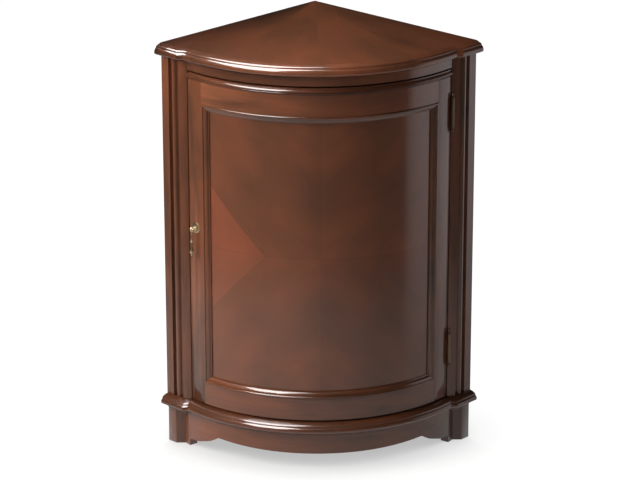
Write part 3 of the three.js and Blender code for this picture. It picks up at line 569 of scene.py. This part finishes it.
def post(side, name, node, look):
    """A fluted return, a rounded corner and a facet, on one upright prism."""
    near, far = 2 * (BEAD_MIDDLE - FLUTE_START), 2 * (FLUTE_END - BEAD_MIDDLE)
    row = [(FLUTE_START + across * near, down) for across, down in FLUTE]
    row += [(FLUTE_END - across * far, down) for across, down in reversed(INNER_FLUTE)]
    outline = [wall_point(side, WALL, 0)]
    outline += [wall_point(side, WALL - down * FLUTE_DEPTH, out) for out, down in row]
    edge_x, edge_y = bow_point(BOW, side * BOW_HALF)
    for i in range(CORNER_STEPS + 1):
        turn = CORNER_TURN * (1 - i / CORNER_STEPS)
        back = CORNER_RADIUS * (1 - math.cos(turn))
        outline.append((edge_x + side * CORNER_RADIUS * math.sin(turn), edge_y + back))
    inner = bow_point(BOW - POST_DEPTH, side * BOW_HALF)
    along = (side * inner[0] - inner[1]) / SQRT2
    outline += [inner, wall_point(side, along, PANEL_FACE)]
    outline += [wall_point(side, REBATE, PANEL_FACE), wall_point(side, REBATE, 0)]
    low, high = (corner.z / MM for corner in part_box(node))
    form(name, [[(x, y, z) for x, y in outline] for z in (low, high)], look, "carcase", node)


# Millimetres outside the carcase, and above the floor: a slope, a small round, a quirk, a round nose,
# a slope back to the plinth and the seat behind
BASE_FACE = [(0.5, 106.2), (4.0, 105.6), (7.5, 104.7), (11.0, 103.3), (13.6, 101.6), (14.4, 100.6)]
BASE_FACE += [(14.7, 99.4), (14.5, 98.5), (15.0, 97.8), (16.2, 97.0), (17.2, 96.0), (17.9, 94.8)]
BASE_FACE += [(18.3, 93.5), (18.5, 92.1), (18.4, 90.7), (18.0, 89.4), (16.6, 87.7), (11.5, 84.5)]
BASE_FACE += [(5.0, 80.7), (1.2, 78.5), (-0.7, 77.7), (-0.7, 75.8), (-2.2, 75.8), (-2.2, 88.5)]
BASE_FACE += [(-12, 88.5), (-12, 106.5)]
MITRE_GAP = 0.3


def base_mouldings():
    """The base moulding in three lengths: the bow, and a facet with its return at each end."""
    lines = [[(x, y, z) for x, y in front_path(out)] for out, z in BASE_FACE]
    bow = [[line[i] for line in lines] for i in range(2, len(lines[0]) - 2)]
    form("moulded_base_bow", bow, MOULDED, "carcase", "base_moulding_bow")
    for name, side, ends in (("left", -1, (0, 1, 2)), ("right", 1, (-1, -2, -3))):
        sections = [[line[i] for line in lines] for i in ends]
        sections[2] = [(x + side * MITRE_GAP, y, z) for x, y, z in sections[2]]
        form("moulded_base_" + name, sections, MOULDED, "carcase", "base_moulding_" + name)


# Millimetres before the door's face, and above its frame: a quirk, a fillet, a hollow, a bead and
# an upright edge
BEAD_FACE = [(-20, 0), (-1.5, 0), (-1.5, 1.0), (0.9, 1.4), (1.4, 2.3), (1.2, 3.3), (0.3, 4.2)]
BEAD_FACE += [(-0.8, 4.7), (2.0, 4.9), (3.4, 5.0), (4.0, 5.5), (3.9, 6.5), (3.5, 7.6), (2.8, 8.8)]
BEAD_FACE += [(1.9, 9.9), (0.9, 10.9), (0.1, 11.5), (0.0, 11.7), (0.0, 13.9), (-20, 13.9)]
LATCH_GAP = 3.0
HINGE_GAP = 3.4


def door_bead():
    start, end = LATCH_GAP / BOW - BOW_HALF, BOW_HALF - HINGE_GAP / BOW
    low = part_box("door_top_bead")[0].z / MM
    lines = [[(x, y, low + up) for x, y in bow_arc(BOW + out, start, end)] for out, up in BEAD_FACE]
    sections = [[line[i] for line in lines] for i in range(ARC_STEPS + 1)]
    form("door_top_moulding", sections, MOULDED, "door", "door_top_bead")


# The look and the eased edge of each solid. The finer forms bring their own.
LOOKS = {
    "left_stile": (STILE, EASED_WOOD),
    "right_stile": (STILE, EASED_WOOD),
    "left_front_foot": (PAINTED_SHADE_FOOT, EASED_WOOD),
    "right_front_foot": (PAINTED_SHADE_FOOT, EASED_WOOD),
    "bottom_rail": (RAIL, 0),
    "plinth_front": (RAIL, 0),
    "panel_moulding_top": (RAIL, 0),
    "panel_moulding_bottom": (RAIL, 0),
    "panel_moulding_left": (STILE, 0),
    "panel_moulding_right": (PAINTED_SHADE_RIGHT_MOULDING, 0),
    "top_rail": (TOP_RAIL_PAINTED_LIGHT, 0),
    "frieze_rail": (FRIEZE_PAINTED_SHADOW, 0),
    "door_panel": (VENEER, 0),
    "top_board": (TOP, 0),
}
FINER = ["left_post", "right_post", "door_top_bead"]
FINER += ["base_moulding_bow", "base_moulding_left", "base_moulding_right"]


def look_of(name):
    if name in LOOKS:
        return LOOKS[name]
    if name.startswith("pull"):
        return BRASS, 0
    if "hinge" in name:
        return BRONZE, 0
    if name.startswith("catch"):
        return STEEL, EASED_STEEL
    return INSIDE, EASED_WOOD


# The floor as the polish shows it, a painted glow: its reach in metres, shares of that reach with the
# paper's brightness
# # there and with how much of the room is seen through it, and the change of brightness to the right
PAPER_REACH = 3.2
PAPER_TONE = [(0.0, 0.75), (0.16, 0.72), (0.33, 0.62), (0.45, 0.22), (0.65, 0.14), (1.0, 0.11)]
PAPER_THIN = [(0.16, 0.0), (0.42, 1.0)]
PAPER_SIDES = {"From Min": -0.5, "From Max": 0.8, "To Min": 1.25, "To Max": 0.6}
# The floor as the camera sees it, with a painted contact shadow: the share of open sky over a point, and
# how white the paper is there
SHADOW_REACH = 0.22
CONTACT_SHADE = [(0.0, 0.44), (0.15, 0.49), (0.3, 0.64), (0.5, 0.74), (0.65, 0.84), (0.8, 0.94)]
CONTACT_SHADE += [(0.95, 1.0)]
FLOOR_SIZE = 40
FLOOR_PALE = (*grey(0.80), 1)
FLOOR_SHADOW = (*grey(0.10), 1)
SHADOW_SAMPLES = 16


def greys(stops):
    return [(place_share, grey(tone)) for place_share, tone in stops]


def floor():
    """Pale paper: a bounce for diffuse rays, a white glow with a painted contact shadow for the camera,
    a dimmer painted glow for gloss.
    """
    bpy.ops.mesh.primitive_plane_add(size=FLOOR_SIZE, location=(0, 0, 0))
    plane = bpy.context.object
    plane.name = "floor"
    made, n = material("pale_floor")
    path = n.add("ShaderNodeLightPath")
    diffuse = n.shader("ShaderNodeBsdfDiffuse", Color=FLOOR_PALE)
    shadow = n.shader("ShaderNodeBsdfDiffuse", Color=FLOOR_SHADOW)
    near = n.add("ShaderNodeAmbientOcclusion", {"Distance": SHADOW_REACH}, samples=SHADOW_SAMPLES)
    contact = n.ramp(near.outputs["AO"], greys(CONTACT_SHADE))
    glow = n.shader("ShaderNodeEmission", Color=contact, Strength=1.0)
    lit = n.join("ShaderNodeAddShader", shadow, glow)
    # what the polish shows of the paper: a painted glow, bright near the cupboard and to the left, dim
    # and thin further out
    spot = n.add("ShaderNodeNewGeometry").outputs["Position"]
    away = n.add("ShaderNodeVectorMath", {0: spot}, operation="LENGTH").outputs["Value"]
    share = n.math("DIVIDE", away, PAPER_REACH)
    sides = n.add("ShaderNodeMapRange", {"Value": n.parts(spot)[0], **PAPER_SIDES}).outputs["Result"]
    paper = n.shader("ShaderNodeEmission", Color=n.ramp(share, greys(PAPER_TONE)), Strength=sides)
    through = n.shader("ShaderNodeBsdfTransparent", Color=n.ramp(share, greys(PAPER_THIN)))
    clear = n.join("ShaderNodeAddShader", through, paper)
    seen = n.join("ShaderNodeMixShader", diffuse, lit, path.outputs["Is Camera Ray"])
    mirror = n.join("ShaderNodeMixShader", seen, clear, path.outputs["Is Glossy Ray"])
    n.finish("ShaderNodeOutputMaterial", mirror)
    plane.data.materials.append(made)


# Colour and strength of the world for diffuse, glossy and camera rays
ROOM_LIGHT = {"Color": (1.0, 0.98, 0.96, 1), "Strength": 0.14}
ROOM_MIRRORED = {"Color": (1.0, 0.95, 0.90, 1), "Strength": 0.015}
ROOM_SEEN = {"Color": (1, 1, 1, 1), "Strength": 1.0}


def world():
    made = bpy.data.worlds.new("studio")
    bpy.context.scene.world = made
    made.use_nodes = True
    made.node_tree.nodes.clear()
    n = Nodes(made.node_tree)
    path = n.add("ShaderNodeLightPath")
    shades = (ROOM_LIGHT, ROOM_MIRRORED, ROOM_SEEN)
    room, dark, white = (n.shader("ShaderNodeBackground", **shade) for shade in shades)
    inner = n.join("ShaderNodeMixShader", room, dark, path.outputs["Is Glossy Ray"])
    outer = n.join("ShaderNodeMixShader", inner, white, path.outputs["Is Camera Ray"])
    n.finish("ShaderNodeOutputWorld", outer)


def lamp(name, at, target, size, power, colour=(1, 1, 1), diffuse=True, glossy=True, spin=0.0):
    light = bpy.data.lights.new(name, "AREA")
    light.shape = "RECTANGLE"
    light.size, light.size_y = size
    light.energy = power
    light.color = colour
    lamp_object = bpy.data.objects.new(name, light)
    bpy.context.scene.collection.objects.link(lamp_object)
    lamp_object.location = at
    aim = Vector(target) - Vector(at)
    lamp_object.rotation_euler = aim.to_track_quat("-Z", "Y").to_euler()
    lamp_object.rotation_euler.rotate_axis("Z", spin)
    lamp_object.visible_camera = False
    lamp_object.visible_diffuse = diffuse
    lamp_object.visible_glossy = glossy
    return light


def fade(light, across, upward):
    """Let the strength of a lamp change over its width and its height."""
    light.use_nodes = True
    light.node_tree.nodes.clear()
    n = Nodes(light.node_tree)
    wide, high, _ = n.parts(n.add("ShaderNodeNewGeometry").outputs["Parametric"])
    share = n.stained(n.ramp(wide, greys(across)), n.ramp(high, greys(upward)))
    n.finish("ShaderNodeOutputLight", n.shader("ShaderNodeEmission", Color=share, Strength=1.0))


# Shares of the right card's width and height, with its strength there
CARD_ACROSS = [(0.08, 0), (0.165, 0.72), (0.24, 0.93), (0.31, 1)]
CARD_UPWARD = [(0.40, 0.45), (0.5, 0.75), (0.6, 1)]
KEY_COLOUR = (1.0, 0.95, 0.88)
CARD_COLOUR = (0.98, 0.96, 1.0)
OVERHEAD_SPIN = math.radians(-29.4)
MIDDLE = (0, 0, 0.45)


def lights():
    """Places, aims and sizes in metres, power in watts."""
    lamp("key", (-2.6, -0.9, 2.1), MIDDLE, (1.5, 1.5), 132, KEY_COLOUR, glossy=False)
    spot, under = (-0.90, -0.92, 1.68), (-0.90, -0.92, 0)
    lamp("overhead", spot, under, (0.83, 2.5), 125, diffuse=False, spin=OVERHEAD_SPIN)
    lamp("front_fill", (-0.4, -3.8, 1.6), MIDDLE, (1.6, 1.2), 10, glossy=False)
    card = lamp("right_card", (1.7, 0, 0), (0, 0, 0.2), (2.2, 2.6), 18, CARD_COLOUR, diffuse=False)
    fade(card, CARD_ACROSS, CARD_UPWARD)
    lamp("top_fill", (-0.6, 0.5, 2.6), (0, 0, 0.8), (1.4, 1.4), 8, glossy=False)


# The camera, fitted to the photograph: metres from the room corner and the floor, and radians
CAMERA_SIDE = -0.15398
CAMERA_BEFORE_CORNER = 5.92149
CAMERA_HEIGHT = 2.41543
CAMERA_DOWN = 0.3391
CAMERA_TURN = -0.02781
CAMERA_LENS = 165.475
SENSOR_WIDTH = 36
CAMERA_CLIP = 100


def camera():
    data = bpy.data.cameras.new("camera")
    data.sensor_width = SENSOR_WIDTH
    data.sensor_fit = "HORIZONTAL"
    data.lens = CAMERA_LENS
    data.clip_end = CAMERA_CLIP
    holder = bpy.data.objects.new("camera", data)
    bpy.context.scene.collection.objects.link(holder)
    holder.location = (CAMERA_SIDE, ROOM_CORNER_Y - CAMERA_BEFORE_CORNER, CAMERA_HEIGHT)
    holder.rotation_euler = (math.pi / 2 - CAMERA_DOWN, 0, CAMERA_TURN)
    bpy.context.scene.camera = holder


for node_name, solid in NODES.items():
    if node_name not in FINER:
        dress(solid, *look_of(node_name))
post(-1, "fluted_post_left", "left_post", POST)
post(1, "fluted_post_right", "right_post", PAINTED_SHADE_RIGHT_POST)
base_mouldings()
door_bead()
bpy.context.scene.view_settings.view_transform = "Standard"
floor()
world()
lights()
camera()
